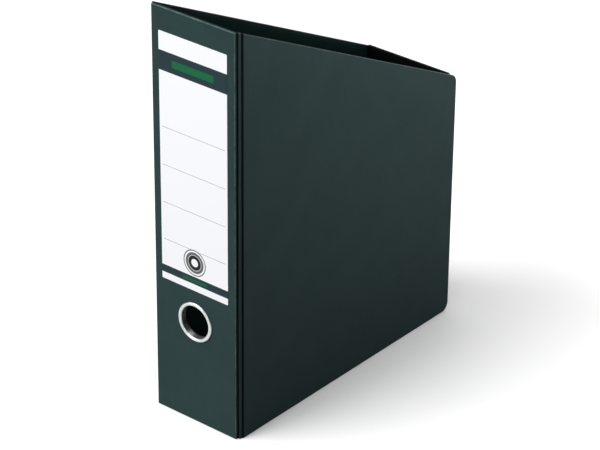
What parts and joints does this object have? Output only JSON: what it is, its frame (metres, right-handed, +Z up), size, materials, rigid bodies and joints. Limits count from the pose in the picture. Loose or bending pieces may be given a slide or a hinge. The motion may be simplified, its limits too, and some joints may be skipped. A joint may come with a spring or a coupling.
{
  "type": "magazine file",
  "caption": "Standing magazine file of film-covered board with a slanted open top, a labelled spine with a metal finger ring, and a low rear wall.",
  "frame": {"origin": "middle of the footprint, on the surface the file stands on", "axes": "+Z up, +X across the spine to the right-hand side panel as seen from the front, -Y the way the spine and its label face"},
  "size_m": [0.081, 0.2466, 0.318],
  "materials": {
    "grey_board": "matt grey board",
    "cover_film": "satin, finely grained plastic film, near black with a slight green cast",
    "lining": "matt black lining sheet",
    "nickel": "polished nickel plate",
    "label_paper": "smooth white paper with plain printed bands and rules"
  },
  "bodies": {
    "root": {"spine_board": "grey_board", "left_side_board": "grey_board", "right_side_board": "grey_board", "rear_board": "grey_board", "floor_board": "grey_board", "cover_film": "cover_film", "tray_film": "cover_film", "case_lining": "lining", "tray_lining": "lining", "finger_ring": "nickel", "ring_washer": "nickel", "spine_label": "label_paper"}
  },
  "joints": []
}
